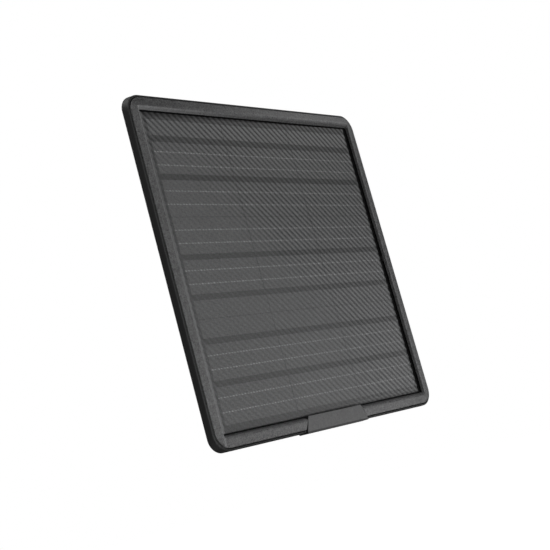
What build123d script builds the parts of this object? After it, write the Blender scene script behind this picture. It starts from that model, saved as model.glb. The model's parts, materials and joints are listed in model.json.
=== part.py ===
from build123d import *
import os
import math

# Small framed outdoor solar panel: a laminate of half-cut cell strips behind an
# embossed film, held in a two-part plastic housing.  A hinged weather flap in
# the middle of the bottom rail covers the output socket.
#
# Working frame while building: x to the right and y up as seen from the front,
# z towards the viewer.  "depth" is measured backwards from the front face, so a
# feature at depth t lies at z = -t.  "out" is measured outwards from the edge
# of the window, and downwards at the bottom rail.  The finished parts are turned
# so that +Z is up, the cells face -Y, and the origin is the mouth of the rear
# mounting thread.  Cutting bodies run a little past the faces they open.

# ---------------------------------------------------------------- window
WIN_W = 165.0          # window width at the front face
WIN_H = 158.4          # window height at the front face
WIN_R = 1.3            # window corner radius
LIP_T = 1.95           # depth of the window's inner wall
LIP_DRAFT = 1.1        # inward slope of the top and bottom walls over that depth
SIDE_DRAFT = 0.05      # the same for the left and right walls
HALF_W, HALF_H = WIN_W / 2, WIN_H / 2

# ---------------------------------------------------------------- front bezel
BEZ_OUT = 4.8          # bezel reaches this far outside the window
BEZ_DROP = 0.5         # the face falls back by this much at its outer edge
CREST = 0.95           # the face is highest this far outside the window
CREST_R = 3.0
BEZ_R = 7.9            # bezel corner radius
BEZ_EDGE_R = 0.3       # rounding of the outer edge
SKIRT_IN = 3.45        # inside of the locating skirt
SKIRT_IN_R = 5.6
SKIRT_END = 4.1        # depth of the skirt's end
BRIDGE_HALF = 27.2     # half width of the bridge behind the flap
BRIDGE_END = 3.3

# ---------------------------------------------------------------- back shell
RIM_OUT = 6.1          # back shell reaches this far outside the window
RIM_IN = BEZ_OUT + 0.4  # inside of the rim wall, clear of the bezel
RIM_LIP = 1.05         # depth of the rim's front edge
RIM_R = 9.1            # rim corner radius at its front edge
RIM_R_END = 6.5        # and where the bevel starts
RIM_END = 5.35         # depth where the bevel starts
BACK = 12.0            # depth of the flat back
BACK_OUT = RIM_OUT - math.tan(math.radians(60.0)) * (BACK - RIM_END)
BACK_R = 5.0
FIELD_INSET = 13.0     # recessed field on the back, inside the window edge
FIELD_DEEP = 0.6
FLOOR = 10.0           # depth of the inside floor
ROOT = FLOOR + 0.2     # ribs and posts are sunk this deep into the floor
SEAT = 4.2             # depth where the bezel's screw posts sit
LEDGE = 5.0            # depth of the ledge for the bonding tape
CAV = 4.2              # ledge width inside the window edge
CAV_DRAFT = 0.9        # the cavity narrows by this much a side down to the floor
RIB_TOP = 4.35
RIB_HALF = 0.7
RIB_INSET = 6.0        # rib ends, inside the window edge
RIB_X = (-52.0, -26.0, 26.0, 52.0)
RIB_Y = (52.0, 26.0, 0.0, -26.0)
CHIN_HALF = 29.5       # half width of the straight block behind the flap
CHIN_O = 5.4           # its lower face

BOSS_FACE = 20.0       # depth of the rear mounting face
BOSS_R = 16.0
BOSS_BASE_R = 25.0
BOSS_SINK = 1.5        # the boss starts this far inside the back
INSERT_R = 5.0
INSERT_LEN = 9.0
INSERT_SEAT_R = 9.0
THREAD_R = 2.55        # 1/4-20 UNC minor radius
THREAD_LEN = 8.0

VENT_X, VENT_Y = -39.0, -39.0
VENT_HOLE_R = 2.0
VENT_SEAT_R = 5.2
VENT_SEAT_DEEP = 1.4

# ---------------------------------------------------------------- laminate
FILM_D = 1.8           # depth of the film's outer surface
FILM_BACK = FILM_D + 0.3
LAM_W = 160.1          # laminate, set a little to the left in the window
LAM_X = -0.85
LAM_H = 154.3
LAM_R = 1.0
CELL_TOP = 2.45
CELL_BACK = CELL_TOP + 0.2
LAM_END = 3.0
GASKET_TOP = 2.45
BOARD_BACK = LAM_END + 1.2
BOARD_W = 163.4
BOARD_H = 156.8
BOARD_R = 1.2

COL_PITCH = 52.0       # three columns of cells
CELL_W = 51.6
BUSBAR_HALF_LEN = 77.8
BUSBAR_HALF_W = 0.25
BUSBAR_T = 0.1
COLLECTOR_X = (-60.0, 60.0)
COLLECTOR_HALF_W = 1.5
COLLECTOR_HALF_LEN = 72.0
COLLECTOR_T = 0.15
# strips, measured down from the top of the window: (top, bottom, busbar lines)
ROWS = [
    (5.52, 13.57, ()),
    (16.88, 32.85, (21.85, 28.48)),
    (35.93, 54.12, (41.37, 48.00)),
    (54.42, 72.50, (60.66, 67.16)),
    (75.33, 91.77, (80.41, 86.92)),
    (94.73, 103.57, ()),
    (103.87, 112.71, ()),
    (115.67, 132.59, (120.76, 127.38)),
    (135.54, 153.00, (140.51, 147.26)),
]

# ---------------------------------------------------------------- housing screws
SCREW_OUT = 1.75       # screw line, outside the window edge
CORNER_SHIFT = 1.4     # corner screws, inwards from the window's side edges
TOP_SCREW_X = 32.0
BOTTOM_SCREW_X = 40.0
POST_R = 1.5
PILOT_R = 0.95
SCREW_R = 0.9
SCREW_LEN = 4.3
SCREW_HOLE_R = 1.1
HEAD_R = 1.8
HEAD_T = 1.0
HEAD_SEAT = 6.2

SCREW_XY = []
for side in (-1, 1):
    for end in (-1, 1):
        SCREW_XY.append((side * (HALF_W - CORNER_SHIFT), end * (HALF_H + SCREW_OUT)))
    SCREW_XY.append((side * (HALF_W + SCREW_OUT), 0.0))
    SCREW_XY.append((side * TOP_SCREW_X, HALF_H + SCREW_OUT))
    SCREW_XY.append((side * BOTTOM_SCREW_X, -(HALF_H + SCREW_OUT)))

# ---------------------------------------------------------------- flap and hinge
FLAP_T = 1.5
FLAP_IN = -1.5         # inner edge, over the window
FLAP_OUT = 6.6         # outer face of the bottom plate
FLAP_HALF_IN = 21.75   # half width at the inner edge
FLAP_HALF_OUT = 25.3   # half width at the outer edge
FLAP_SLOPE = (FLAP_HALF_OUT - FLAP_HALF_IN) / (FLAP_OUT - FLAP_IN)
FLAP_GAP = 0.4
FLAP_END = 8.8         # depth of the bottom plate's end
TAB_START = 8.5        # depth where the tabs behind the plate start
NOTCH_IN = -2.4        # inner end of the bezel's notch
HINGE_D = 10.5         # hinge axis: depth
HINGE_O = 3.9          # hinge axis: out
HINGE_R = 1.5
SWING_R = 9.25         # bezel material stays within this radius of the hinge axis
PIN_R = 0.6
PIN_PLAY = 0.06        # radial running clearance in the flap's knuckles
LUG_W = 3.0
LUG_PLAY = 0.2         # between a lug and a knuckle
PIN_SPANS = ((-25.2, -13.8), (13.8, 25.2))
SEAL_O = 1.35          # lower face of the seal
CEIL_O = 0.3           # roof of the socket bay
BAY_HALF = 25.9        # half width of the socket bay

# ---------------------------------------------------------------- electronics
PCB_FRONT, PCB_BACK = 8.9, 9.7
PCB_Y = -61.0
PCB_SCREW_XY = [(-18.5, -50.0), (18.5, -50.0)]
PCB_SCREW_R = 0.85
SOCKET_D = 7.25        # depth of the socket's axis
SOCKET_SIZE = (8.94, 3.26)
SOCKET_WALL = 0.3
SOCKET_FLOOR_O = -6.6  # blind end inside the socket
SLEEVE_SIZE = (10.0, 4.3)
CAP_XY = ((6.6, -57.0), (6.6, -60.5), (10.2, -57.0), (10.2, -60.5), (-3.2, -64.2), (3.2, -64.2))
PANEL_PAD_X, PANEL_PAD_Y = 5.0, -36.0     # lead ends on the backing board
PCB_PAD_X, PCB_PAD_Y = 11.0, -52.0        # lead ends on the regulator board
PANEL_JOINT_T = 0.35
PCB_JOINT_T = 0.85
LEAD_R = 0.65
LEAD_RUN_D = 6.4       # depth of the leads' run between the boards


# ---------------------------------------------------------------- helpers
def slab(w, h, r, d0, d1, x=0.0, y=0.0):
    """Prism with rounded corners between depths d0 and d1."""
    face = RectangleRounded(w, h, r) if r > 0 else Rectangle(w, h)
    return Pos(x, y, -d1) * extrude(face, d1 - d0)


def window_slab(out, r, d0, d1):
    """Slab whose outline lies "out" outside the window edge."""
    return slab(WIN_W + 2 * out, WIN_H + 2 * out, r, d0, d1)


def taper_slab(w0, h0, r0, d0, w1, h1, r1, d1):
    """Ruled body from one rounded rectangle at depth d0 to another at d1."""
    front = Pos(0, 0, -d0) * RectangleRounded(w0, h0, r0)
    rear = Pos(0, 0, -d1) * RectangleRounded(w1, h1, r1)
    return loft([rear.face(), front.face()], ruled=True)


def window_taper(out0, r0, d0, out1, r1, d1):
    """Ruled body between two offsets from the window edge."""
    return taper_slab(
        WIN_W + 2 * out0, WIN_H + 2 * out0, r0, d0,
        WIN_W + 2 * out1, WIN_H + 2 * out1, r1, d1,
    )


def rod(x, y, r, d0, d1):
    """Round bar along the depth direction."""
    return Pos(x, y, -d1) * extrude(Circle(r), d1 - d0)


def hinge_bar(r, x0, x1):
    """Round bar on the hinge axis."""
    return (Pos(x0, -(HALF_H + HINGE_O), -HINGE_D) * Rot(0, 90, 0)
            * extrude(Circle(r), x1 - x0))


def box(x0, x1, y0, y1, d0, d1):
    return Pos((x0 + x1) / 2, (y0 + y1) / 2, -(d0 + d1) / 2) * Box(
        x1 - x0, y1 - y0, d1 - d0
    )


def rail_box(x0, x1, out_low, out_high, d0, d1):
    """Box at the bottom rail, its lower and upper faces given as "out"."""
    return box(x0, x1, -(HALF_H + out_low), -(HALF_H + out_high), d0, d1)


def rail_section(points, x0, x1):
    """Solid with a (depth, out) outline at the bottom rail, between x0 and x1."""
    plane = Plane(origin=(x0, 0, 0), x_dir=(0, 1, 0), z_dir=(1, 0, 0))
    outline = [(-(HALF_H + out), -depth) for depth, out in points]
    return extrude(plane * Polygon(*outline, align=None), x1 - x0, dir=(1, 0, 0))


def stadium_bar(w, t, out_low, out_high):
    """Stadium-section bar along y on the socket's axis."""
    return Pos(0, -(HALF_H + out_low), -SOCKET_D) * Rot(-90, 0, 0) * extrude(
        SlotOverall(w, t), out_low - out_high)


def flap_prism(out0, out1, extra, depth, length):
    """Flap-shaped trapezoid, widened by extra a side, running forward from depth."""
    half0 = FLAP_HALF_IN + FLAP_SLOPE * (out0 - FLAP_IN) + extra
    half1 = FLAP_HALF_IN + FLAP_SLOPE * (out1 - FLAP_IN) + extra
    y0, y1 = -(HALF_H + out0), -(HALF_H + out1)
    face = Polygon((-half0, y0), (half0, y0), (half1, y1), (-half1, y1), align=None)
    return Pos(0, 0, -depth) * extrude(face, length, dir=(0, 0, 1))


def edges_at(solid, depth):
    return [e for e in solid.edges() if abs(e.center().Z + depth) < 1e-3]


def round_at(solid, depth, radius):
    """Round the edges at a depth, or leave them sharp if the fillet can't be made."""
    try:
        return fillet(edges_at(solid, depth), radius)
    except Exception:
        return solid


# ---------------------------------------------------------------- housing
def front_bezel():
    bezel = window_slab(BEZ_OUT, BEZ_R, BEZ_DROP, LIP_T)
    bezel = bezel + window_taper(CREST, CREST_R, 0.0, BEZ_OUT, BEZ_R, BEZ_DROP)
    bezel = round_at(bezel, BEZ_DROP, BEZ_EDGE_R)
    # locating skirt
    bezel += window_slab(BEZ_OUT, BEZ_R, LIP_T, SKIRT_END) - window_slab(
        SKIRT_IN, SKIRT_IN_R, LIP_T - 1, SKIRT_END + 1)
    for x, y in SCREW_XY:
        bezel += rod(x, y, POST_R, LIP_T, SEAT)
    # window opening with sloping walls
    bezel -= taper_slab(
        WIN_W, WIN_H, WIN_R, -0.001,
        WIN_W - 2 * SIDE_DRAFT, WIN_H - 2 * LIP_DRAFT, 1.0, LIP_T + 0.001,
    )
    # shallow bevel from the crest down into the window
    bezel -= window_taper(0.75, WIN_R + 0.75, -0.06, -0.3, WIN_R - 0.3, 0.36)
    for x, y in SCREW_XY:
        bezel -= rod(x, y, PILOT_R, 1.6, SEAT + 0.1)
    # bridge behind the flap's front plate
    bezel += rail_box(-BRIDGE_HALF, BRIDGE_HALF, BEZ_OUT, CEIL_O, LIP_T, BRIDGE_END)
    # notch for the flap, wider towards the outside
    bezel -= flap_prism(NOTCH_IN, 9.0, FLAP_GAP, 1.8, 4.0)
    # the thin inner slope left under the notch is cleared
    bezel -= flap_prism(NOTCH_IN, 0.3, FLAP_GAP, 2.2, 3.0)
    # the bridge stays inside the path of the flap's front plate
    swing = rail_section(
        [(1.79, 0.25), (SEAT + 0.5, 0.25), (SEAT + 0.5, 9.0), (1.79, 9.0)], -25.75, 25.75)
    swing -= hinge_bar(SWING_R, -30, 30)
    bezel -= swing
    # socket bay behind the bridge
    bezel -= rail_box(-BAY_HALF, BAY_HALF, 9, CEIL_O, 3.4, 9)
    return bezel


def shell_chin():
    """Straight block behind the flap, level with the back."""
    chin = rail_box(-CHIN_HALF, CHIN_HALF, CHIN_O, -12.0, RIM_END - 0.6, BACK)
    chin = fillet([e for e in chin.edges()
                   if abs(abs(e.center().X) - CHIN_HALF) < 1e-3
                   and abs(e.center().Y + HALF_H + CHIN_O) < 1e-3], 2.0)
    return chamfer([e for e in edges_at(chin, BACK)
                    if abs(e.center().Y + HALF_H + CHIN_O) < 1e-2], 0.8)


def shell_outside():
    """Rim, bevelled back, mounting boss and chin, all still solid."""
    shell = window_taper(RIM_OUT, RIM_R, RIM_LIP, RIM_OUT, RIM_R_END, RIM_END)
    shell += window_taper(RIM_OUT, RIM_R_END, RIM_END, BACK_OUT, BACK_R, BACK)
    for depth, radius in ((RIM_END, 1.6), (RIM_LIP, 0.55), (BACK, 2.0)):
        shell = round_at(shell, depth, radius)
    shell -= window_slab(-FIELD_INSET, 8.0, BACK - FIELD_DEEP, BACK + 1)
    # conical boss, widest at the back of the housing
    shell += Pos(0, 0, -BOSS_FACE) * Cone(
        BOSS_R, BOSS_BASE_R, BOSS_FACE - BACK + BOSS_SINK,
        align=(Align.CENTER, Align.CENTER, Align.MIN))
    return shell + shell_chin()


def shell_ribs():
    """Grid of stiffening ribs behind the backing board."""
    end_x, end_y = HALF_W - RIB_INSET, HALF_H - RIB_INSET
    ribs = [box(x - RIB_HALF, x + RIB_HALF, -end_y, end_y, RIB_TOP, ROOT) for x in RIB_X]
    ribs += [box(-end_x, end_x, y - RIB_HALF, y + RIB_HALF, RIB_TOP, ROOT) for y in RIB_Y]
    return (Part() + ribs) & window_slab(-(CAV + 0.1), 4.0, 4.0, FLOOR + 0.1)


def hollow_shell(shell):
    """Cut the interior, then add the ribs, insert seat and screw holes."""
    shell -= window_slab(RIM_IN, RIM_R - (RIM_OUT - RIM_IN), -1, SEAT)
    shell -= slab(BOARD_W + 0.5, BOARD_H + 0.5, 1.5, SEAT - 0.5, LEDGE)
    shell -= window_taper(-CAV, 4.0, LEDGE - 0.5, -(CAV + CAV_DRAFT), 3.2, FLOOR)
    shell += shell_ribs()
    shell += rod(0, 0, INSERT_SEAT_R, 5.0, ROOT)
    shell -= rod(0, 0, INSERT_R, BOSS_FACE - INSERT_LEN, BOSS_FACE + 1)
    # screw holes with counterbores from the back
    for x, y in SCREW_XY:
        shell -= rod(x, y, SCREW_HOLE_R, 3.0, HEAD_SEAT + 1)
        shell -= rod(x, y, HEAD_R + 0.15, HEAD_SEAT, BACK + 2)
    return shell


def add_socket_bay(shell):
    """Cut the bay open downwards and build the hinge lugs into it."""
    shell -= rail_box(-BAY_HALF, BAY_HALF, 12, CEIL_O, -1, BACK + 2)
    # rear wall of the bay, hollowed round the hinge line
    shell += rail_box(-25.95, 25.95, HINGE_O, CEIL_O - 0.3, 10.75, BACK) - hinge_bar(
        HINGE_R + 0.25, -30, 30)
    for start, stop in PIN_SPANS:
        for x0, x1 in ((start, start + LUG_W), (stop - LUG_W, stop)):
            shell += hinge_bar(HINGE_R, x0, x1)
            shell += rail_box(x0, x1, HINGE_O, CEIL_O - 0.3, HINGE_D - HINGE_R, BACK)
    # pins are pressed through the lugs
    for x0, x1 in PIN_SPANS:
        shell -= hinge_bar(PIN_R, x0 - 0.1, x1 + 0.1)
    # opening for the socket with its sleeve
    return shell - stadium_bar(*SLEEVE_SIZE, 2.0, -10.0)


def back_shell():
    shell = add_socket_bay(hollow_shell(shell_outside()))
    # vent opening and its seat on the back
    shell -= rod(VENT_X, VENT_Y, VENT_HOLE_R, FLOOR - 1, BACK + 1)
    shell -= rod(VENT_X, VENT_Y, VENT_SEAT_R, BACK - VENT_SEAT_DEEP, BACK + 1)
    # posts for the regulator board
    for x, y in PCB_SCREW_XY:
        shell += rod(x, y, 2.2, PCB_BACK, ROOT)
        shell -= rod(x, y, PCB_SCREW_R, 9.0, BACK - 0.9)
    return shell


# ---------------------------------------------------------------- laminate
def laminate_layer(d0, d1):
    return slab(LAM_W, LAM_H, LAM_R, d0, d1, LAM_X)


def cell_list():
    return [
        slab(CELL_W, bottom - top, 0, CELL_TOP, CELL_BACK,
             column * COL_PITCH, HALF_H - (top + bottom) / 2)
        for top, bottom, _ in ROWS for column in (-1, 0, 1)
    ]


def busbar_list():
    return [
        box(-BUSBAR_HALF_LEN, BUSBAR_HALF_LEN,
            HALF_H - line - BUSBAR_HALF_W, HALF_H - line + BUSBAR_HALF_W,
            CELL_TOP - BUSBAR_T, CELL_TOP)
        for _, _, lines in ROWS for line in lines
    ]


def collector_list():
    return [
        box(x - COLLECTOR_HALF_W, x + COLLECTOR_HALF_W,
            -COLLECTOR_HALF_LEN, COLLECTOR_HALF_LEN, CELL_BACK, CELL_BACK + COLLECTOR_T)
        for x in COLLECTOR_X
    ]


def cover_film():
    return laminate_layer(FILM_D, FILM_BACK)


def solar_cells():
    return Compound(children=cell_list())


def busbar_ribbons():
    return Compound(children=busbar_list())


def collector_ribbons():
    return Compound(children=collector_list())


def front_encapsulant():
    layer = laminate_layer(FILM_BACK, CELL_BACK)
    for embedded in cell_list() + busbar_list():
        layer -= embedded
    return layer


def rear_encapsulant():
    layer = laminate_layer(CELL_BACK, LAM_END)
    for embedded in collector_list():
        layer -= embedded
    return layer


def backing_board():
    return slab(BOARD_W, BOARD_H, BOARD_R, LAM_END, BOARD_BACK)


def bonding_tape():
    return slab(BOARD_W - 0.2, BOARD_H - 0.2, BOARD_R, BOARD_BACK, LEDGE) - window_slab(
        0.3 - CAV, 3.6, 3, 7)


def perimeter_gasket():
    return window_slab(-0.45, 1.4, GASKET_TOP, LAM_END) - slab(
        LAM_W + 1.2, LAM_H + 0.7, 1.0, 1, 4, LAM_X)


# ---------------------------------------------------------------- hardware
def screw(x, y):
    """Housing screw with a rounded head and a cross recess at the back."""
    shank = rod(x, y, SCREW_R, HEAD_SEAT - SCREW_LEN, HEAD_SEAT)
    head = rod(x, y, HEAD_R, HEAD_SEAT, HEAD_SEAT + HEAD_T)
    head = fillet(head.edges().sort_by(Axis.Z)[0:1], 0.35)
    cross = Part()
    for angle in (0, 90):
        cross += Pos(x, y, 0) * Rot(0, 0, angle) * box(
            -1.05, 1.05, -0.22, 0.22, HEAD_SEAT + 0.4, HEAD_SEAT + 2)
    return (shank + head) - cross


def shell_screws():
    return Compound(children=[screw(x, y) for x, y in SCREW_XY])


def mount_insert():
    insert = rod(0, 0, INSERT_R, BOSS_FACE - INSERT_LEN, BOSS_FACE)
    insert -= rod(0, 0, THREAD_R, BOSS_FACE - THREAD_LEN, BOSS_FACE + 1)
    mouth = [e for e in edges_at(insert, BOSS_FACE) if e.radius < THREAD_R + 0.1]
    insert = chamfer(mouth, 0.5)
    # two retaining grooves round the insert
    for depth in (BOSS_FACE - 3.0, BOSS_FACE - 6.0):
        insert -= rod(0, 0, INSERT_R + 1, depth - 0.5, depth + 0.5) - rod(
            0, 0, INSERT_R - 0.35, depth - 1, depth + 1)
    return insert


def flap_pins():
    return Compound(children=[hinge_bar(PIN_R, x0, x1) for x0, x1 in PIN_SPANS])


# ---------------------------------------------------------------- port flap
# (depth, out) outline of the flap, which wraps round the bottom rail
FLAP_OUTLINE = [
    (0.0, FLAP_IN), (0.0, FLAP_OUT - 0.45), (0.13, FLAP_OUT - 0.13), (0.45, FLAP_OUT),
    (RIM_END, FLAP_OUT), (RIM_END + 1.2, CHIN_O), (FLAP_END, CHIN_O),
    (FLAP_END, HINGE_O), (6.2, HINGE_O), (5.0, FLAP_OUT - FLAP_T),
    (FLAP_T, FLAP_OUT - FLAP_T), (FLAP_T, FLAP_IN),
]


def port_flap():
    flap = rail_section(FLAP_OUTLINE, -FLAP_HALF_OUT, FLAP_HALF_OUT)
    # the front plate tapers, the bottom plate keeps its full width
    flap = flap & (flap_prism(-3.0, FLAP_OUT, 0.0, 3.0, 4.0)
                   + rail_box(-FLAP_HALF_OUT, FLAP_HALF_OUT, 8, -3, FLAP_T, 14))
    # the middle of the plate reaches back to the hinge line
    flap += rail_section([(TAB_START, HINGE_O), (TAB_START, CHIN_O),
                          (10.2, CHIN_O), (10.2, HINGE_O)], -13.6, 13.6)
    # a knuckle between each pair of lugs
    for start, stop in PIN_SPANS:
        x0, x1 = start + LUG_W + LUG_PLAY, stop - LUG_W - LUG_PLAY
        flap += rail_box(x0, x1, CHIN_O, HINGE_O, TAB_START, HINGE_D)
        flap += hinge_bar(HINGE_R, x0, x1)
        flap -= hinge_bar(PIN_R + PIN_PLAY, x0 - 0.5, x1 + 0.5)
    # stem that carries the seal up to the socket
    return flap + rail_box(-5.0, 5.0, HINGE_O + 0.1, SEAL_O, 6.3, 8.3)


def flap_seal():
    return rail_box(-6.4, 6.4, SEAL_O, CEIL_O + 0.05, 4.9, 9.6)


# ---------------------------------------------------------------- electronics
def regulator_board():
    board = slab(44.0, 25.0, 1.5, PCB_FRONT, PCB_BACK, 0, PCB_Y)
    for x, y in PCB_SCREW_XY:
        board -= rod(x, y, 1.1, 8, 10)
    return board


def board_screws():
    return Compound(children=[
        rod(x, y, PCB_SCREW_R, PCB_FRONT, BACK - 1.0)
        + rod(x, y, 1.7, PCB_FRONT - 1.0, PCB_FRONT) for x, y in PCB_SCREW_XY
    ])


def output_socket():
    inside = [size - 2 * SOCKET_WALL for size in SOCKET_SIZE]
    return stadium_bar(*SOCKET_SIZE, CEIL_O, -7.3) - stadium_bar(
        *inside, CEIL_O + 0.01, SOCKET_FLOOR_O)


def socket_tongue():
    return rail_box(-3.35, 3.35, -0.5, SOCKET_FLOOR_O, SOCKET_D - 0.35, SOCKET_D + 0.35)


def socket_sleeve():
    return stadium_bar(*SLEEVE_SIZE, CEIL_O, -CAV) - stadium_bar(
        *SOCKET_SIZE, CEIL_O + 1, -CAV - 1)


def inductor():
    return slab(6.6, 6.6, 1.2, PCB_FRONT - 2.8, PCB_FRONT, -9.0, -58.5)


def regulator_ic():
    return slab(4.0, 4.0, 0.15, PCB_FRONT - 0.9, PCB_FRONT, 0.0, -58.5)


def filter_capacitors():
    return Compound(children=[
        box(x - 1.25, x + 1.25, y - 0.8, y + 0.8, PCB_FRONT - 1.2, PCB_FRONT)
        for x, y in CAP_XY
    ])


def blocking_diode():
    return slab(4.4, 2.8, 0.3, PCB_FRONT - 2.1, PCB_FRONT, 16.0, -58.0)


def lead(side):
    """Insulated wire from a joint on the backing board down to the regulator."""
    x0, x1 = side * PANEL_PAD_X, side * PCB_PAD_X
    path = FilletPolyline(
        (x0, PANEL_PAD_Y, -(BOARD_BACK + PANEL_JOINT_T)),
        (x0, PANEL_PAD_Y, -LEAD_RUN_D),
        (x0, PANEL_PAD_Y - 8.0, -LEAD_RUN_D),
        (x1, PCB_PAD_Y + 6.0, -LEAD_RUN_D),
        (x1, PCB_PAD_Y, -LEAD_RUN_D),
        (x1, PCB_PAD_Y, -(PCB_FRONT - PCB_JOINT_T)),
        radius=1.0,
    )
    return sweep(Plane(origin=path @ 0, z_dir=path % 0) * Circle(LEAD_R), path=path)


def panel_lead_positive():
    return lead(1)


def panel_lead_negative():
    return lead(-1)


def solder_joints():
    joints = []
    for side in (1, -1):
        joints.append(rod(side * PANEL_PAD_X, PANEL_PAD_Y, 1.5,
                          BOARD_BACK, BOARD_BACK + PANEL_JOINT_T))
        joints.append(rod(side * PCB_PAD_X, PCB_PAD_Y, 1.3,
                          PCB_FRONT - PCB_JOINT_T, PCB_FRONT))
    return Compound(children=joints)


# ---------------------------------------------------------------- vent
def vent_plug():
    plug = rod(VENT_X, VENT_Y, VENT_SEAT_R - 0.2, BACK - VENT_SEAT_DEEP, BACK - 0.7)
    plug += rod(VENT_X, VENT_Y, VENT_HOLE_R - 0.05, FLOOR + 0.1, BACK - 1.3)
    return plug - rod(VENT_X, VENT_Y, 1.1, FLOOR - 1, BACK - 0.2)


def vent_membrane():
    return rod(VENT_X, VENT_Y, VENT_HOLE_R - 0.05, FLOOR - 0.05, FLOOR + 0.1)


# ---------------------------------------------------------------- write parts
# each function's name is also its file name
PIECES = (
    front_bezel, back_shell, perimeter_gasket,
    cover_film, front_encapsulant, solar_cells, busbar_ribbons, collector_ribbons,
    rear_encapsulant, backing_board, bonding_tape,
    shell_screws, mount_insert, port_flap, flap_seal, flap_pins,
    regulator_board, board_screws, output_socket, socket_tongue, socket_sleeve,
    inductor, regulator_ic, filter_capacitors, blocking_diode,
    panel_lead_positive, panel_lead_negative, solder_joints,
    vent_plug, vent_membrane,
)

os.makedirs("parts", exist_ok=True)
place = Pos(0, -BOSS_FACE, 0) * Rot(90, 0, 0)
for piece in PIECES:
    moved = [place * solid for solid in piece().solids()]
    part = moved[0] if len(moved) == 1 else Compound(children=moved)
    export_step(part, "parts/" + piece.__name__ + ".step")
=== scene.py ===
"""Flat box-shaped product standing upright: its window, closed by a ribbed clear film over
rows of cells, faces -Y; X runs to the right and Z up.  Lengths are metres unless a
name or comment says mm."""
import bmesh
import bpy
import json
import math
import numpy as np
from functools import reduce
from mathutils import Matrix, Vector
from operator import add


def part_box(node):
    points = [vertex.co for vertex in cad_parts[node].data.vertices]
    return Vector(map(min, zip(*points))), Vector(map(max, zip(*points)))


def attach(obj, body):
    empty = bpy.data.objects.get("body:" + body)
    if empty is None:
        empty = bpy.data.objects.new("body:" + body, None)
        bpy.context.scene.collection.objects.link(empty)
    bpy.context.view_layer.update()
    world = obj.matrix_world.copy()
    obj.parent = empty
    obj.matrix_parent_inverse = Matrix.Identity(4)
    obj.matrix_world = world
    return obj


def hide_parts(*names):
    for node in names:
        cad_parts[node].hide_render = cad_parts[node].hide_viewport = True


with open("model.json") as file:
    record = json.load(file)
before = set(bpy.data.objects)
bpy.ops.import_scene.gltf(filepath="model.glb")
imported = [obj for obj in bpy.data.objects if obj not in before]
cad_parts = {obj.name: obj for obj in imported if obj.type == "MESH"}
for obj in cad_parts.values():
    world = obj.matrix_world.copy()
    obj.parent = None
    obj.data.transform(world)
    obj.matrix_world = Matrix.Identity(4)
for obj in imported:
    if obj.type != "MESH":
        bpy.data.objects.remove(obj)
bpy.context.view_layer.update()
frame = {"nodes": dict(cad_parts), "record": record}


SCENE = bpy.context.scene
TAU = math.tau
FILM_MIN, FILM_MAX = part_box("cover_film")

# half sizes of the window
WIN_HALF_W, WIN_HALF_H = 0.0825, 0.0792

# diagonal ribs of the film
RIB_PITCH_X = 4.082    # mm, along x
RIB_PITCH_V = 4.050    # mm, down the panel
RIB_PHASE = 2.45       # radians, at the middle of the window's top edge
# slow drift of the ribs: mm below the window's top (start, end), radians (start, end)
RIB_DRIFT = ((8.0, 84.0, -0.05, -1.15), (100.0, 145.0, 0.0, 0.75))

# rows of cells: top and bottom, mm below the window's top
CELL_ROWS = [
    (5.52, 13.57), (16.88, 32.85), (35.93, 54.12), (54.42, 72.50), (75.33, 91.77),
    (94.73, 103.57), (103.87, 112.71), (115.67, 132.59), (135.54, 153.00),
]
# centre lines of the metal ribbons, mm below the window's top
RIBBONS = [21.85, 28.48, 41.37, 48.00, 60.66, 67.16, 80.41, 86.92, 120.76, 127.38, 140.51, 147.26]


# ------------------------------------------------------------------ node tools
class Value:
    """An output socket; arithmetic on it adds Math nodes to its tree."""

    def __init__(self, nodes, socket):
        self.nodes = nodes
        self.socket = socket

    def __add__(self, other):
        return self.nodes.math("ADD", self, other)

    def __radd__(self, other):
        return self.nodes.math("ADD", other, self)

    def __sub__(self, other):
        return self.nodes.math("SUBTRACT", self, other)

    def __rsub__(self, other):
        return self.nodes.math("SUBTRACT", other, self)

    def __mul__(self, other):
        return self.nodes.math("MULTIPLY", self, other)

    def __abs__(self):
        return self.nodes.math("ABSOLUTE", self)

    def sin(self):
        return self.nodes.math("SINE", self)

    def map_range(self, kind, start, end, low, high):
        inputs = {"Value": self, "From Min": start, "From Max": end, "To Min": low, "To Max": high}
        return self.nodes.get("MapRange", inputs, interpolation_type=kind, clamp=True)

    def step(self, start, end, low=0.0, high=1.0):
        """Smooth change from low to high as the value goes from start to end."""
        return self.map_range("SMOOTHSTEP", start, end, low, high)

    def ramp(self, start, end, low, high):
        """Straight, clamped change from low to high as the value goes from start to end."""
        return self.map_range("LINEAR", start, end, low, high)

    def spread(self, low, high):
        """Stretch the middle range of a noise over low to high."""
        return self.ramp(0.3, 0.7, low, high)


class Nodes:
    """Writer for an emptied node tree."""

    def __init__(self, tree):
        self.tree = tree
        tree.nodes.clear()

    def put(self, socket, value):
        if isinstance(value, Value):
            self.tree.links.new(value.socket, socket)
        else:
            socket.default_value = (*value, 1.0) if socket.type == "RGBA" else value

    def new(self, kind, inputs=None, **settings):
        """New node; inputs maps socket names or indices to Values or constants."""
        node = self.tree.nodes.new("ShaderNode" + kind)
        for key, setting in settings.items():
            setattr(node, key, setting)
        for key, value in (inputs or {}).items():
            self.put(node.inputs[key], value)
        return node

    def get(self, kind, inputs=None, output=0, **settings):
        """New node, returned as the Value of one of its outputs."""
        return Value(self, self.new(kind, inputs, **settings).outputs[output])

    def math(self, operation, *terms):
        return self.get("Math", dict(enumerate(terms)), operation=operation)


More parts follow.
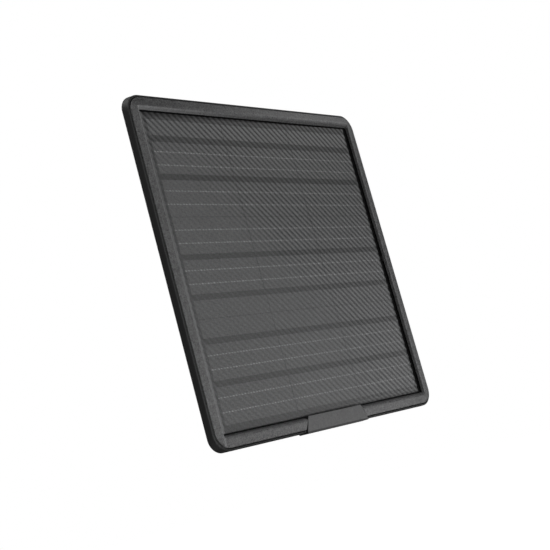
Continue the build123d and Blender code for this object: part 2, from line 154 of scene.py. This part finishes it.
class Surface(Nodes):
    """A new material built round a Principled shader."""

    INPUTS = dict(color="Base Color", rough="Roughness", metal="Metallic", normal="Normal",
                  specular="Specular IOR Level", coat="Coat Weight",
                  coat_rough="Coat Roughness", transmission="Transmission Weight", ior="IOR")

    def __init__(self, name):
        self.material = bpy.data.materials.new(name)
        self.material.use_nodes = True
        super().__init__(self.material.node_tree)
        self.output = self.new("OutputMaterial")
        self.shader = self.get("BsdfPrincipled")
        self.put(self.output.inputs[0], self.shader)
        coords = self.new("TexCoord")
        self.position = Value(self, coords.outputs["Object"])
        self.facing = Value(self, coords.outputs["Normal"])

    def separate(self, vector):
        """The x, y and z of a vector."""
        node = self.new("SeparateXYZ", {0: vector})
        return [Value(self, socket) for socket in node.outputs]

    def noise(self, size_mm, detail=3.0, rough=0.55, stretch=None, seed=None):
        vector = self.position
        if stretch is not None:
            vector = self.get("Mapping", {"Vector": vector, "Scale": stretch})
        inputs = {"Vector": vector, "Scale": 1000.0 / size_mm,
                  "Detail": detail, "Roughness": rough}
        if seed is None:
            return self.get("TexNoise", inputs, output="Fac")
        inputs["W"] = seed
        return self.get("TexNoise", inputs, output="Fac", noise_dimensions="4D")

    def voronoi(self, size_mm):
        inputs = {"Vector": self.position, "Scale": 1000.0 / size_mm}
        return self.get("TexVoronoi", inputs, output="Distance")

    def weave(self, pitch):
        """Cross-hatch of sine waves along x and z."""
        x, _, z = self.separate(self.position)
        return (x * (TAU / pitch)).sin() * (z * (TAU / pitch)).sin()

    def lanes(self, width_mm):
        """Distance in mm that runs up and down along x over each lane width."""
        x = self.separate(self.position)[0]
        return self.math("PINGPONG", x * 1000.0, width_mm)

    def scale(self, color, factor):
        return self.get("VectorMath", {0: color, "Scale": factor}, operation="SCALE")

    def mix(self, factor, color_a, color_b):
        return self.get("Mix", {0: factor, 6: color_a, 7: color_b}, output=2, data_type="RGBA")

    def bump(self, height, depth_mm, strength, normal=None):
        inputs = {"Height": height, "Distance": depth_mm / 1000.0, "Strength": strength}
        if normal is not None:
            inputs["Normal"] = normal
        return self.get("Bump", inputs)

    def soft_edges(self, radius_mm):
        return self.get("Bevel", {"Radius": radius_mm / 1000.0}, samples=4)

    def edge_mask(self, rounded):
        """1 on sharp edges, 0 on flats."""
        flat = self.get("NewGeometry", output="Normal")
        dot = self.get("VectorMath", {0: rounded, 1: flat}, output="Value",
                       operation="DOT_PRODUCT")
        return dot.step(0.999, 0.86)

    def finish(self, **inputs):
        for key, value in inputs.items():
            self.put(self.shader.socket.node.inputs[self.INPUTS[key]], value)
        return self.material


def grey(level):
    return (level, level, level * 1.01)


# ------------------------------------------------------------------ moulded plastic
def opening_painted_light(mat, tone, rub_and_sheen):
    """Painted highlights, a painted reflection and painted light and shade on the edges and rails
    round the window opening.
    """
    x, _, z = mat.separate(mat.position)
    # mm outward from the opening's left and top edges
    out_left = (x * -1.0 - WIN_HALF_W) * 1000.0
    out_top = (z - WIN_HALF_H) * 1000.0
    # painted highlight line along the left edge
    left = out_left.step(-0.7, -0.4) * out_left.step(1.0, 0.6) * out_top.step(0.4, 0.0)
    tone = tone + left * (rub_and_sheen * 0.2 + 0.70)
    # painted highlight line just above the top edge, stronger to the right
    crest = out_top.step(0.4, 0.8) * out_top.step(2.0, 1.5)
    crest = crest * x.ramp(-0.040, 0.040, low=0.02, high=0.24)
    tone = tone + crest * abs(x).step(WIN_HALF_W + 0.0012, WIN_HALF_W + 0.0004)
    # painted reflection on the underside of the top edge, stronger towards its left end
    wall = out_top.step(0.45, 0.0) * z.step(0.070, 0.072)
    wall = wall * abs(x).step(WIN_HALF_W + 0.0004, WIN_HALF_W)
    tone = tone + wall * x.ramp(-0.004, -0.078, low=0.0, high=0.95)
    # painted light: side rails lighter towards the bottom
    rail = abs(x).step(WIN_HALF_W - 0.0004, WIN_HALF_W + 0.0002)
    rail = rail * z.step(-WIN_HALF_H - 0.0002, -WIN_HALF_H + 0.001)
    tone = tone + rail * z.ramp(0.030, -0.070, low=0.0, high=0.28)
    # painted light and shade: top rail lighter towards the right
    return tone + out_top.step(0.0, 0.6) * x.ramp(0.010, 0.072, low=-0.17, high=0.20)


def joint_shade(mat, tone):
    """Darken end faces and the underside with painted shade, for the shadow they lie in at the
    joint.
    """
    side, _, up = mat.separate(mat.facing)
    ends = abs(side).step(0.5, 0.8)
    under = up.step(-0.35, -0.75)
    return tone * (1.0 - mat.math("MAXIMUM", ends, under) * 0.8)


def moulded(name, base, rough, seed, grain, mottle, depth=0.012, edge_wear_and_highlight=0.25, edge=0.18,
            specular=0.4, opening=False, joint=False, painted_low_shade=None):
    """Spark-eroded plastic: fine grain, soft mottling and slightly polished edges, whose lighter
    tone is partly real wear and partly a painted highlight.
    grain, depth and edge are mm; mottle and edge_wear_and_highlight are strengths of the tone
    changes;
    painted_low_shade is (start z, end z, strength) of the painted shade along the lower edge."""
    mat = Surface(name)
    fine = mat.noise(grain, detail=2.0, rough=0.6, seed=seed)
    middle = mat.noise(grain * 2.2, detail=2.0, rough=0.6, seed=seed + 1.3)
    wide = mat.noise(9.0, rough=0.5, seed=seed + 2.1)
    cloud = mat.noise(38.0, detail=2.0, rough=0.5, seed=seed + 4.7)
    tone = (fine - 0.5) * (mottle * 4.5) + (middle - 0.5) * (mottle * 2.2)
    tone = tone + (wide - 0.5) * (mottle * 0.25)
    tone = tone + (cloud - 0.5) * (mottle * 0.4) + 1.0
    rounded = mat.soft_edges(edge)
    edges = mat.edge_mask(rounded)
    # lighter edges: real wear, and also a painted highlight
    rub_and_sheen = mat.noise(2.2, detail=4.0, rough=0.6, seed=seed + 6.0).step(0.35, 0.7)
    worn_and_lit_edges = edges * (rub_and_sheen * 0.7 + 0.3)
    tone = tone + worn_and_lit_edges * edge_wear_and_highlight
    # painted shade along the lower edge
    if painted_low_shade is not None:
        start, end, strength = painted_low_shade
        z = mat.separate(mat.position)[2]
        tone = tone * (1.0 - z.step(start, end) * strength)
    # painted shade on end faces and undersides
    if joint:
        tone = joint_shade(mat, tone)
    # painted highlights, reflection, light and shade round the window opening
    if opening:
        tone = opening_painted_light(mat, tone, rub_and_sheen)
    return mat.finish(
        color=mat.scale(base, tone),
        rough=middle.spread(rough - 0.05, rough + 0.05) + worn_and_lit_edges * -0.10,
        normal=mat.bump(fine * 0.5 + middle * 0.9, depth, strength=0.9, normal=rounded),
        specular=specular)


# ------------------------------------------------------------------ other materials
def rubber(name, base):
    """Dull rubber with a trace of dust."""
    mat = Surface(name)
    grain = mat.noise(0.5, rough=0.6)
    tone = 0.8 + (grain * 0.25 + mat.noise(6.0, rough=0.5) * 0.2)
    dust = mat.noise(1.4, detail=4.0, rough=0.65).step(0.56, 0.8)
    return mat.finish(
        color=mat.mix(dust * 0.06, mat.scale(base, tone), (0.09, 0.09, 0.088)),
        rough=grain.spread(0.77, 0.93),
        normal=mat.bump(grain, 0.01, strength=0.6, normal=mat.soft_edges(0.1)),
        specular=0.10)


def metal(name, base, rough, stretch=(1, 1, 1), size=0.35, tarnish=None):
    """Metal with streaks of the given size in mm, drawn out by the stretch along
    each axis; tarnish is the colour of its dull patches."""
    mat = Surface(name)
    streak = mat.noise(size, rough=0.6, stretch=stretch)
    patch = mat.noise(2.0, detail=4.0, rough=0.6)
    color = mat.scale(base, 0.9 + streak * 0.2)
    if tarnish is not None:
        color = mat.mix(patch.step(0.45, 0.75) * 0.5, color, tarnish)
    return mat.finish(
        color=color, metal=1.0,
        rough=(rough - 0.06) + streak * 0.12 + patch * 0.06,
        normal=mat.bump(streak, 0.004, strength=0.5, normal=mat.soft_edges(0.06)))


def foam(name, base):
    mat = Surface(name)
    pores = mat.voronoi(0.35)
    grain = mat.noise(0.3)
    return mat.finish(color=mat.scale(base, 0.6 + pores * 0.8), rough=0.9,
                      normal=mat.bump(pores + grain, 0.05, strength=0.8), specular=0.2)


def package(name, base, rough=0.5, speck=0.25, size=0.12):
    """Moulded or pressed electronic body with a speckle of the given strength
    and size in mm."""
    mat = Surface(name)
    grain = mat.noise(size, rough=0.7)
    patch = mat.noise(1.2, rough=0.5)
    tone = (1.0 - speck / 2) + (grain * speck + (patch - 0.5) * 0.15)
    return mat.finish(
        color=mat.scale(base, tone), rough=grain.spread(rough - 0.08, rough + 0.08),
        normal=mat.bump(grain, 0.006, strength=0.6, normal=mat.soft_edges(0.08)),
        specular=0.45)


def laminate_board(name, base):
    """Glass-fibre sheet: a faint woven cross-hatch under the surface."""
    mat = Surface(name)
    weave = mat.weave(0.0006)
    patch = mat.noise(1.5, detail=4.0)
    return mat.finish(color=mat.scale(base, 0.9 + (weave * 0.08 + patch * 0.2)),
                      rough=patch.spread(0.42, 0.55),
                      normal=mat.bump(weave, 0.004, strength=0.5), specular=0.5)


def solder_mask(name, base):
    """Mask over copper: tracks show as slightly raised, lighter lines."""
    mat = Surface(name)
    track = mat.lanes(1.1).step(0.72, 0.62)
    track = track * mat.noise(7.0, detail=2.0, rough=0.4).step(0.47, 0.52)
    patch = mat.noise(1.0)
    return mat.finish(
        color=mat.mix(track, mat.scale(base, 0.85 + patch * 0.3), (0.03, 0.20, 0.09)),
        rough=patch.spread(0.28, 0.4), normal=mat.bump(track, 0.03, strength=0.8),
        specular=0.5, coat=0.3, coat_rough=0.2)


def membrane(name, base):
    """Finely woven pale sheet."""
    mat = Surface(name)
    weave = mat.weave(0.00035)
    grain = mat.noise(0.4, detail=4.0)
    return mat.finish(color=mat.scale(base, 0.85 + grain * 0.2), rough=0.85,
                      normal=mat.bump(weave * 0.5 + grain, 0.02, strength=0.6), specular=0.3)


def silicon(name, base):
    """Blue-black cell with fine grid fingers across the strip."""
    mat = Surface(name)
    finger = mat.lanes(0.8).step(0.10, 0.04)
    cloud = mat.noise(18.0, detail=4.0, rough=0.6)
    cell = mat.scale(base, 0.8 + cloud * 0.5)
    return mat.finish(color=mat.mix(finger * 0.8, cell, (0.42, 0.42, 0.43)),
                      rough=cloud.spread(0.25, 0.36), specular=0.6)


def clear(name, base):
    mat = Surface(name)
    ripple = mat.noise(3.0)
    return mat.finish(color=mat.scale(base, 0.95 + ripple * 0.1),
                      rough=ripple.spread(0.12, 0.22),
                      normal=mat.bump(ripple, 0.02, strength=0.3),
                      specular=0.5, transmission=0.85, ior=1.48)


def wire(name, base):
    mat = Surface(name)
    patch = mat.noise(0.8)
    grain = mat.noise(0.25, detail=2.0)
    return mat.finish(color=mat.scale(base, 0.85 + patch * 0.3), rough=grain.spread(0.35, 0.5),
                      normal=mat.bump(grain, 0.006, strength=0.5), specular=0.5)


# ------------------------------------------------------------------ film material
# in these functions across is mm right of the middle, down is mm below the window's top
def cell_mask(across, down):
    """1 on the cells, 0 in the gaps round them."""
    soft = 0.12
    rows = reduce(add, (down.step(top - soft, top + soft) * down.step(bottom + soft, bottom - soft)
                        for top, bottom in CELL_ROWS))
    sides = across.step(-78.0, -77.6) * across.step(78.6, 78.2)
    dividers = abs(abs(across) - 26.0).step(0.48, 0.18)
    return rows * sides * (1.0 - dividers * 0.85)


def ribbon_mask(mat, across, down):
    """Ribbons, broken up by the emboss."""
    lines = reduce(add, (abs(down - centre).step(0.40, 0.14) for centre in RIBBONS))
    dash = (across * (TAU / 2.04) + down * (-TAU / 2.02)).sin()
    dash = dash.step(-0.5, 0.6, low=0.18, high=1.0)
    spark = mat.noise(1.6, detail=2.0, rough=0.6, seed=3.0).step(0.40, 0.62, low=0.45, high=1.0)
    return lines * abs(across).step(78.2, 77.8) * (dash * spark)


def rib_painted_shading(mat, across, down):
    """Painted light and shade along the ribs, standing in for their shading and sheen, fading in
    over a slanting front.
    """
    top = down.step(36.0, 4.0)
    front = down.ramp(35.0, 115.0, low=-45.0, high=28.0)
    show = (across - front).step(-24.0, 24.0) * down.ramp(12.0, 40.0, low=0.14, high=0.38)
    show = show + 0.065 + top * 0.46
    phase = across * (TAU / RIB_PITCH_X) - down * (TAU / RIB_PITCH_V) + RIB_PHASE
    phase = phase + reduce(add, (down.ramp(*drift) for drift in RIB_DRIFT))
    wobble = mat.noise(1.1, rough=0.6, seed=5.0)
    return mat.math("COSINE", phase) * show * (wobble * 0.5).__radd__(0.75)


def film(name, gap_color, cell_color):
    """Cells, gaps and ribbons seen through the embossed sheet, with painted light and shade over
    it.
    """
    mat = Surface(name)
    x, _, z = mat.separate(mat.position)
    across = x * 1000.0
    down = (WIN_HALF_H - z) * 1000.0
    cell = cell_mask(across, down)
    ribbon = ribbon_mask(mat, across, down)
    # painted light and shade along the ribs
    painted_rib_shading = rib_painted_shading(mat, across, down)
    # fine dotted grain
    dots_x = (across * (TAU / 1.9) + mat.noise(5.0, detail=2.0, seed=1.0) * 3.0).sin()
    dots_z = (down * (TAU / 1.35) + across * 2.0).sin()
    dots = dots_x * dots_z
    grain = mat.noise(0.9, rough=0.7, seed=8.0)
    base = mat.mix(cell, gap_color, cell_color)
    # gaps lighter towards the bottom
    lift = 1.0 + (1.0 - cell) * down.ramp(40.0, 95.0, low=-0.02, high=0.22)
    cloud = mat.noise(60.0, detail=1.0, rough=0.4, seed=2.0)
    # painted light and shade: slow change of brightness over the panel, and a lighter top strip
    painted_light_drift = down.ramp(45.0, 95.0, low=-0.19, high=0.08) * across.ramp(-80.0, 0.0, low=0.35, high=1.0)
    painted_light_drift = painted_light_drift + down.step(16.0, 12.0) * 0.09
    tone = 1.0 + painted_rib_shading + painted_light_drift + dots * 0.09
    tone = tone + (grain - 0.5) * 1.7 + (cloud - 0.5) * 0.12
    tone = tone + ribbon * across.ramp(-80.0, 80.0, low=2.0, high=1.1)
    # painted highlight along the sheet's left edge, next to the left window wall
    tone = tone + across.step(-79.4, -79.9) * 1.1
    return mat.finish(color=mat.scale(base, tone * lift),
                      rough=grain.spread(0.44, 0.56) + ribbon * -0.06,
                      normal=mat.bump(dots * 0.35 + grain * 0.8, 0.018, strength=0.8),
                      specular=0.35)


# ------------------------------------------------------------------ material slots
# slot name: (material function, its arguments)
RECIPES = {
    "bezel_plastic": (moulded, dict(base=grey(0.098), rough=0.43, seed=1.0, grain=0.55,
                                    mottle=0.75, depth=0.016, edge_wear_and_highlight=0.5, edge=0.3,
                                    specular=0.5, opening=True)),
    "flap_plastic": (moulded, dict(base=grey(0.112), rough=0.45, seed=9.0, grain=0.55,
                                   mottle=0.26, specular=0.5, joint=True,
                                   painted_low_shade=(-0.0847, -0.0851, 0.8))),
    "shell_plastic": (moulded, dict(base=grey(0.026), rough=0.55, seed=4.0, grain=0.4,
                                    mottle=0.16, edge_wear_and_highlight=0.9, edge=0.25,
                                    painted_low_shade=(-0.0830, -0.0840, 0.62))),
    "seal_rubber": (rubber, dict(base=grey(0.004))),
    "encapsulant": (clear, dict(base=(0.62, 0.64, 0.65))),
    "silicon": (silicon, dict(base=(0.016, 0.02, 0.034))),
    "tinned_copper": (metal, dict(base=(0.72, 0.72, 0.70), rough=0.32, stretch=(0.05, 1, 1))),
    "board_black": (laminate_board, dict(base=grey(0.020))),
    "foam_tape": (foam, dict(base=grey(0.018))),
    "steel": (metal, dict(base=(0.55, 0.55, 0.56), rough=0.34, size=0.5)),
    "insert_brass": (metal, dict(base=(0.74, 0.56, 0.27), rough=0.28, stretch=(1, 0.05, 1),
                                 size=0.4, tarnish=(0.42, 0.29, 0.14))),
    "pcb_green": (solder_mask, dict(base=(0.018, 0.12, 0.05))),
    "socket_steel": (metal, dict(base=(0.62, 0.62, 0.63), rough=0.26, stretch=(1, 0.06, 1),
                                 size=0.3)),
    "tongue_black": (package, dict(base=grey(0.025), rough=0.45)),
    "ferrite": (package, dict(base=grey(0.075), rough=0.6, speck=0.5, size=0.2)),
    "chip_black": (package, dict(base=grey(0.03))),
    "ceramic": (package, dict(base=(0.46, 0.34, 0.21), rough=0.45, speck=0.2)),
    "wire_red": (wire, dict(base=(0.45, 0.025, 0.025))),
    "wire_black": (wire, dict(base=grey(0.025))),
    "solder": (metal, dict(base=(0.7, 0.7, 0.72), rough=0.3, size=0.8, tarnish=(0.5, 0.5, 0.5))),
    "membrane": (membrane, dict(base=(0.80, 0.80, 0.78))),
    "embossed_film": (film, dict(gap_color=(0.0690, 0.0695, 0.0700),
                                 cell_color=(0.1240, 0.1250, 0.1260))),
}
MATERIALS = {name: make(name, **arguments) for name, (make, arguments) in RECIPES.items()}

for part in frame["record"]["subparts"]:
    slots = frame["nodes"][part["node"]].data.materials
    slots.clear()
    slots.append(MATERIALS[part["material_slot"]])


# ------------------------------------------------------------------ embossed film
RIB_STEPS = 14         # rows of vertices per rib, at least
ROW_POINTS = 60        # vertices along a row
CREST_Y = FILM_MIN.y + 0.00002
VALLEY_Y = FILM_MIN.y + 0.00022
BACK_Y = FILM_MAX.y - 0.00001
LEFT, RIGHT, HALF_H = FILM_MIN.x, FILM_MAX.x, FILM_MAX.z
# rib phase in radians per metre along x and z
RATE_X, RATE_Z = TAU / RIB_PITCH_X * 1000, TAU / RIB_PITCH_V * 1000


def rib_phases():
    """Phase of each row of vertices, with a row through every corner of the sheet."""
    corners = sorted(RATE_X * x - RATE_Z * (WIN_HALF_H - z) + RIB_PHASE
                     for x in (LEFT, RIGHT) for z in (-HALF_H, HALF_H))
    phases = []
    for start, end in zip(corners, corners[1:]):
        count = max(1, math.ceil((end - start) / (TAU / RIB_STEPS)))
        phases += list(np.linspace(start, end, count, endpoint=False))
    return phases + [corners[-1]]


def rib_row(phase):
    """Vertices along the line of one phase, RATE_X * x + RATE_Z * z = level."""
    level = phase - RIB_PHASE + RATE_Z * WIN_HALF_H
    start = max(LEFT, (level - RATE_Z * HALF_H) / RATE_X)
    end = min(RIGHT, (level + RATE_Z * HALF_H) / RATE_X)
    at_corner = end - start < 1e-7
    row = []
    for x in [0.5 * (start + end)] if at_corner else np.linspace(start, end, ROW_POINTS):
        z = (level - RATE_X * x) / RATE_Z
        down = (WIN_HALF_H - z) * 1000
        drift = sum(float(np.interp(down, ends[:2], ends[2:])) for ends in RIB_DRIFT)
        height = 0.5 + 0.5 * math.cos(phase + drift)
        y = VALLEY_Y + (CREST_Y - VALLEY_Y) * height
        row.append((x, y, max(-HALF_H, min(HALF_H, z))))
    return row


def row_faces(low, high):
    """Faces between neighbouring rows; a row of one vertex makes a fan."""
    if len(low) == 1:
        return [(low[0], high[i + 1], high[i]) for i in range(len(high) - 1)]
    if len(high) == 1:
        return [(low[i], low[i + 1], high[0]) for i in range(len(low) - 1)]
    return [(low[i], low[i + 1], high[i + 1], high[i]) for i in range(len(low) - 1)]


def ribbed_film():
    """Closed sheet with diagonal ribs on its front face and a flat back."""
    verts, rows, faces = [], [], []
    for phase in rib_phases():
        points = rib_row(phase)
        rows.append(range(len(verts), len(verts) + len(points)))
        verts += points
    for low, high in zip(rows, rows[1:]):
        faces += row_faces(low, high)
    smooth_count = len(faces)
    rim = [row[0] for row in rows] + [row[-1] for row in rows[::-1] if len(row) > 1]
    base, count = len(verts), len(rim)
    verts += [(verts[i][0], BACK_Y, verts[i][2]) for i in rim]
    for i in range(count):
        after = (i + 1) % count
        faces.append((rim[i], rim[after], base + after, base + i))
    faces.append(tuple(range(base, base + count)))

    mesh = bpy.data.meshes.new("embossed_cover")
    mesh.from_pydata(verts, [], faces)
    mesh.validate()
    shape = bmesh.new()
    shape.from_mesh(mesh)
    bmesh.ops.recalc_face_normals(shape, faces=shape.faces)
    shape.to_mesh(mesh)
    shape.free()
    smooth = np.arange(len(mesh.polygons)) < smooth_count
    mesh.polygons.foreach_set("use_smooth", smooth)
    cover = place("embossed_cover", mesh)
    mesh.materials.append(MATERIALS["embossed_film"])
    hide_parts("cover_film")
    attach(cover, "housing")


def place(name, data):
    """New object in the scene."""
    thing = bpy.data.objects.new(name, data)
    SCENE.collection.objects.link(thing)
    return thing


ribbed_film()


# ------------------------------------------------------------------ stage
def floor_material():
    """Pale floor that glows white to the camera and only faintly onto the product."""
    mat = Surface("studio_floor")
    tone = 0.97 + mat.noise(40.0) * 0.03
    mat.finish(color=mat.scale((0.86, 0.86, 0.86), tone), rough=0.8, specular=0.1)
    seen = mat.get("LightPath", output="Is Camera Ray")
    glow = mat.get("Emission", {"Color": (1, 1, 1),
                                "Strength": seen.ramp(0, 1, low=0.12, high=1.15)})
    mat.put(mat.output.inputs[0], mat.get("MixShader", {0: 0.9, 1: mat.shader, 2: glow}))
    return mat.material


def make_floor(half=6, z=-0.27):
    mesh = bpy.data.meshes.new("floor")
    corners = [(-half, -half, z), (half, -half, z), (half, half, z), (-half, half, z)]
    mesh.from_pydata(corners, [], [(0, 1, 2, 3)])
    floor = place("floor", mesh)
    mesh.materials.append(floor_material())


def make_world(seen=1.0, lighting=0.05):
    """White backdrop: its strength to the camera and as a light."""
    world = bpy.data.worlds.new("studio")
    SCENE.world = world
    world.use_nodes = True
    nodes = Nodes(world.node_tree)
    to_camera = nodes.get("Background", {0: (1, 1, 1), 1: seen})
    as_light = nodes.get("Background", {0: (1, 1, 1), 1: lighting})
    ray = nodes.get("LightPath", output="Is Camera Ray")
    nodes.new("OutputWorld", {0: nodes.get("MixShader", {0: ray, 1: as_light, 2: to_camera})})


# name, location, point aimed at, (width, height), watts
SOFTBOXES = [
    ("key_right", (0.42, -0.40, -0.12), (0.02, -0.02, -0.01), (0.30, 0.30), 0.17),
    ("front", (-0.10, -0.95, 0.10), (0, 0, 0), (0.8, 0.8), 2.65),
    ("low_left", (-0.22, -0.22, -0.20), (-0.05, -0.02, 0), (0.26, 0.2), 0.22),
    ("top", (-0.30, 0.10, 0.70), (0, 0, 0), (0.5, 0.5), 2.5),
    ("low_front", (-0.12, -0.45, -0.24), (0, -0.02, 0), (0.3, 0.2), 0.56),
    ("close_rt", (0.15, -0.12, 0.13), (0.07, -0.02, 0.02), (0.1, 0.1), 0.042),
    ("close_rb", (0.15, -0.12, -0.13), (0.07, -0.02, -0.03), (0.1, 0.1), 0.054),
    ("back", (0.35, 0.9, 0.45), (0, 0, 0), (0.8, 0.8), 8.0),
]


def softbox(name, location, aim, size, power):
    light = bpy.data.lights.new(name, "AREA")
    light.shape = "RECTANGLE"
    light.size, light.size_y = size
    light.energy = power
    lamp = place(name, light)
    lamp.location = location
    lamp.rotation_euler = (Vector(aim) - Vector(location)).to_track_quat("-Z", "Y").to_euler()
    lamp.visible_camera = False


make_floor()
make_world()
for box in SOFTBOXES:
    softbox(*box)

# ------------------------------------------------------------------ camera
CAMERA_PLACE = (-0.4676, -0.3789, -0.1013)
VIEW_FORWARD = Vector((0.77154, 0.61515, 0.16221))
VIEW_RIGHT = Vector((0.63473, -0.72718, -0.26139))
VIEW_TURN = 0.0004238725     # slope of a slight turn to the left and up
LENS_MM, SENSOR_MM = 77.210182, 36.0


def square_to(side, forward):
    """Side direction made square to the forward one."""
    return (side - forward * side.dot(forward)).normalized()


def make_camera():
    camera = bpy.data.cameras.new("camera")
    camera.sensor_fit = "HORIZONTAL"
    camera.sensor_width = SENSOR_MM
    camera.lens = LENS_MM
    camera.clip_start = 0.01
    viewer = place("camera", camera)
    forward = VIEW_FORWARD.normalized()
    right = square_to(VIEW_RIGHT, forward)
    forward = (forward - right * VIEW_TURN + right.cross(forward) * VIEW_TURN).normalized()
    right = square_to(right, forward)
    turn = Matrix((right, right.cross(forward), -forward)).transposed()
    viewer.matrix_world = Matrix.Translation(CAMERA_PLACE) @ turn.to_4x4()
    SCENE.camera = viewer


make_camera()
view = SCENE.view_settings
view.view_transform = "Standard"
view.look = "None"
view.exposure = 0.0
view.gamma = 1.0
